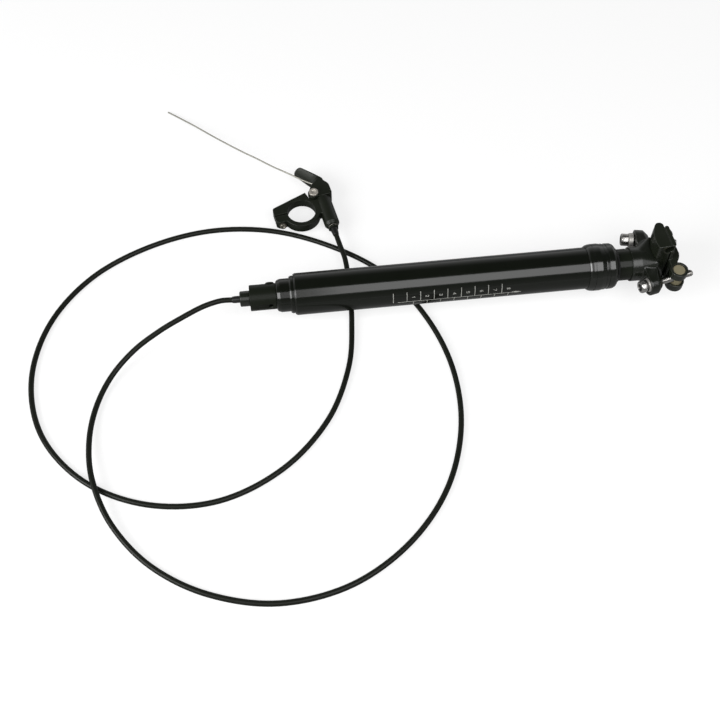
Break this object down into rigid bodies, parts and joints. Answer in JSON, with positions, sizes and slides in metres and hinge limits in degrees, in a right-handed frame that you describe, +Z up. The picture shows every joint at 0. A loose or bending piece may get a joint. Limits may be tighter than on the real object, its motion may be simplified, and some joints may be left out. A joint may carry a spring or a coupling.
{
  "type": "dropper seatpost",
  "caption": "Height-adjustable bicycle seatpost with a sliding inner tube, two-bolt saddle-rail clamp, gas cartridge and a cable-operated thumb remote for the handlebar.",
  "frame": {"origin": "on the post's axis at the lower edge of the outer tube", "axes": "+X along the post from its base to the saddle clamp, +Z up from the surface it lies on, +Y towards the remote"},
  "size_m": [0.4922, 0.4467, 0.052],
  "materials": {
    "black_gloss": "gloss black anodised",
    "black_satin": "satin black",
    "black_rubber": "matte",
    "black_plastic": "gloss",
    "bright_steel": "bright",
    "grey_steel": "satin",
    "bronze": "plain bearing",
    "bare_alloy": "machined"
  },
  "bodies": {
    "outer_post": {"outer_tube": "black_gloss", "seal_collar": "black_gloss", "wiper_seal": "black_rubber", "upper_bushing": "bronze", "bottom_cap": "black_gloss", "actuator_housing": "black_satin", "lock_screw": "black_satin", "cable_stop": "black_satin", "post_ferrule": "black_plastic", "cartridge_rod": "bright_steel", "cable_housing": "black_plastic", "remote_body": "black_satin", "clamp_screw": "grey_steel", "pivot_bolt": "grey_steel", "pivot_nut": "grey_steel", "remote_ferrule": "black_plastic"},
    "stanchion": {"stanchion_tube": "black_gloss", "lower_bushing": "bronze", "guide_keys": "bronze", "cartridge_body": "bare_alloy", "cartridge_gland": "bronze", "retaining_ring": "grey_steel", "post_head": "black_satin"},
    "saddle_clamp": {"clamp_cradle": "black_satin", "top_clamp": "black_satin"},
    "front_nut": {"front_barrel_nut": "grey_steel"},
    "rear_nut": {"rear_barrel_nut": "grey_steel"},
    "front_bolt": {"front_bolt": "bright_steel", "front_washer": "bright_steel"},
    "rear_bolt": {"rear_bolt": "bright_steel", "rear_washer": "bright_steel"},
    "lever": {"thumb_lever": "black_satin", "anchor_screw": "grey_steel", "wire_tail": "bright_steel"},
    "release": {"release_rod": "bare_alloy", "wire_head_end": "bright_steel"},
    "adjuster": {"barrel_adjuster": "black_satin"}
  },
  "joints": [
    {"name": "post_slide", "type": "slide", "parent": "outer_post", "child": "stanchion", "axis": [1, 0, 0], "range_m": [0, 0.1]},
    {"name": "clamp_tilt", "type": "hinge", "parent": "stanchion", "child": "saddle_clamp", "pos_m": [0.291, 0.002, 0], "axis": [0, 0, 1], "range_deg": [-5, 5]},
    {"name": "front_bolt_swing", "type": "hinge", "parent": "stanchion", "child": "front_bolt", "pos_m": [0.25924, 0.02175, 0], "axis": [0, 0, 1], "range_deg": [-3.2, 3.2]},
    {"name": "rear_bolt_swing", "type": "hinge", "parent": "stanchion", "child": "rear_bolt", "pos_m": [0.26273, -0.02001, 0], "axis": [0, 0, 1], "range_deg": [-2.9, 2.9]},
    {"name": "front_nut_turn", "type": "hinge", "parent": "saddle_clamp", "child": "front_nut", "pos_m": [0.2801, 0.01809, 0], "axis": [0, 0, 1], "range_deg": [-8.2, 8.2]},
    {"name": "rear_nut_turn", "type": "hinge", "parent": "saddle_clamp", "child": "rear_nut", "pos_m": [0.28276, -0.0156, 0], "axis": [0, 0, 1], "range_deg": [-7.9, 7.9]},
    {"name": "lever_press", "type": "hinge", "parent": "outer_post", "child": "lever", "pos_m": [0.0233, 0.10514, -0.0176], "axis": [0, 0, 1], "range_deg": [0, 25], "stiffness_Nm_per_rad": 0.4, "springref_deg": -11.46},
    {"name": "release_pull", "type": "slide", "parent": "outer_post", "child": "release", "axis": [1, 0, 0], "range_m": [-0.00284, 0]},
    {"name": "adjuster_turn", "type": "hinge", "parent": "outer_post", "child": "adjuster", "pos_m": [0.03562, 0.07458, -0.0176], "axis": [0.1822, -0.9833, 0], "continuous": true}
  ],
  "couplings": [
    {"joint": "front_bolt_swing", "follows": "clamp_tilt", "ratio": -0.63783},
    {"joint": "rear_bolt_swing", "follows": "clamp_tilt", "ratio": -0.57712},
    {"joint": "front_nut_turn", "follows": "clamp_tilt", "ratio": -1.6378},
    {"joint": "rear_nut_turn", "follows": "clamp_tilt", "ratio": -1.5771},
    {"joint": "release_pull", "follows": "lever_press", "m_per_rad": -0.0065}
  ]
}
